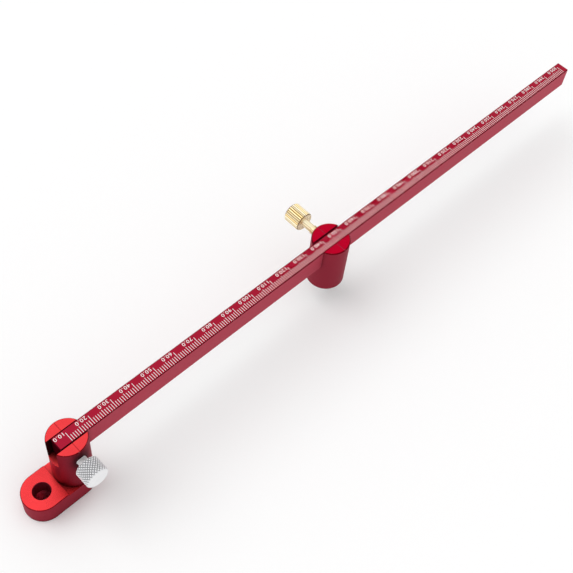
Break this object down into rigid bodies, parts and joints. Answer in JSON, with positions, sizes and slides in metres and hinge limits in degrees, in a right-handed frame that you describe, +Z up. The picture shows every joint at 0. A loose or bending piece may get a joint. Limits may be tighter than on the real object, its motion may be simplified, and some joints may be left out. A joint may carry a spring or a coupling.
{
  "type": "beam compass",
  "caption": "Beam compass: a graduated bar clamped in slotted posts, with a pencil hole in the foot at its end and a pivot point under the sliding post.",
  "frame": {"origin": "where the head post's axis meets the underside of the foot", "axes": "+X along the bar from the head to the slider, +Z up out of the work, +Y to the back, where the brass thumb screw is"},
  "size_m": [0.3158, 0.0408, 0.0354],
  "materials": {
    "bar_anodised": "satin red anodised",
    "head_anodised": "satin red anodised",
    "slider_anodised": "satin red anodised",
    "silver_plate": "bright nickel plate, knurled",
    "brass": "turned, knurled",
    "steel": "ground",
    "nylon": "matte"
  },
  "bodies": {
    "head": {"head_post": "head_anodised", "pencil_foot": "head_anodised", "foot_screws": "steel"},
    "bar": {"scale_bar": "bar_anodised"},
    "slider": {"slider_post": "slider_anodised", "pivot_pin": "steel"},
    "head_pad": {"head_pressure_pad": "nylon"},
    "head_screw": {"head_thumb_screw": "silver_plate"},
    "slider_pad": {"slider_pressure_pad": "nylon"},
    "slider_screw": {"slider_thumb_screw": "brass"}
  },
  "joints": [
    {"name": "bar_slide", "type": "slide", "parent": "head", "child": "bar", "axis": [1, 0, 0], "range_m": [-0.005, 0.003]},
    {"name": "slider_slide", "type": "slide", "parent": "bar", "child": "slider", "axis": [1, 0, 0], "range_m": [-0.113, 0.156]},
    {"name": "head_pad_travel", "type": "slide", "parent": "head", "child": "head_pad", "axis": [0, -1, 0], "range_m": [0, 0.0021]},
    {"name": "head_screw_turn", "type": "hinge", "parent": "head_pad", "child": "head_screw", "pos_m": [0, 0, 0.028], "axis": [0, -1, 0], "range_deg": [0, 1080]},
    {"name": "slider_pad_travel", "type": "slide", "parent": "slider", "child": "slider_pad", "axis": [0, 1, 0], "range_m": [0, 0.0021]},
    {"name": "slider_screw_turn", "type": "hinge", "parent": "slider_pad", "child": "slider_screw", "pos_m": [0.1344, 0.0004, 0.0311], "axis": [0, 1, 0], "range_deg": [0, 1080]}
  ],
  "couplings": [
    {"joint": "head_screw_turn", "follows": "head_pad_travel", "rad_per_m": 8976},
    {"joint": "slider_screw_turn", "follows": "slider_pad_travel", "rad_per_m": 8976}
  ]
}
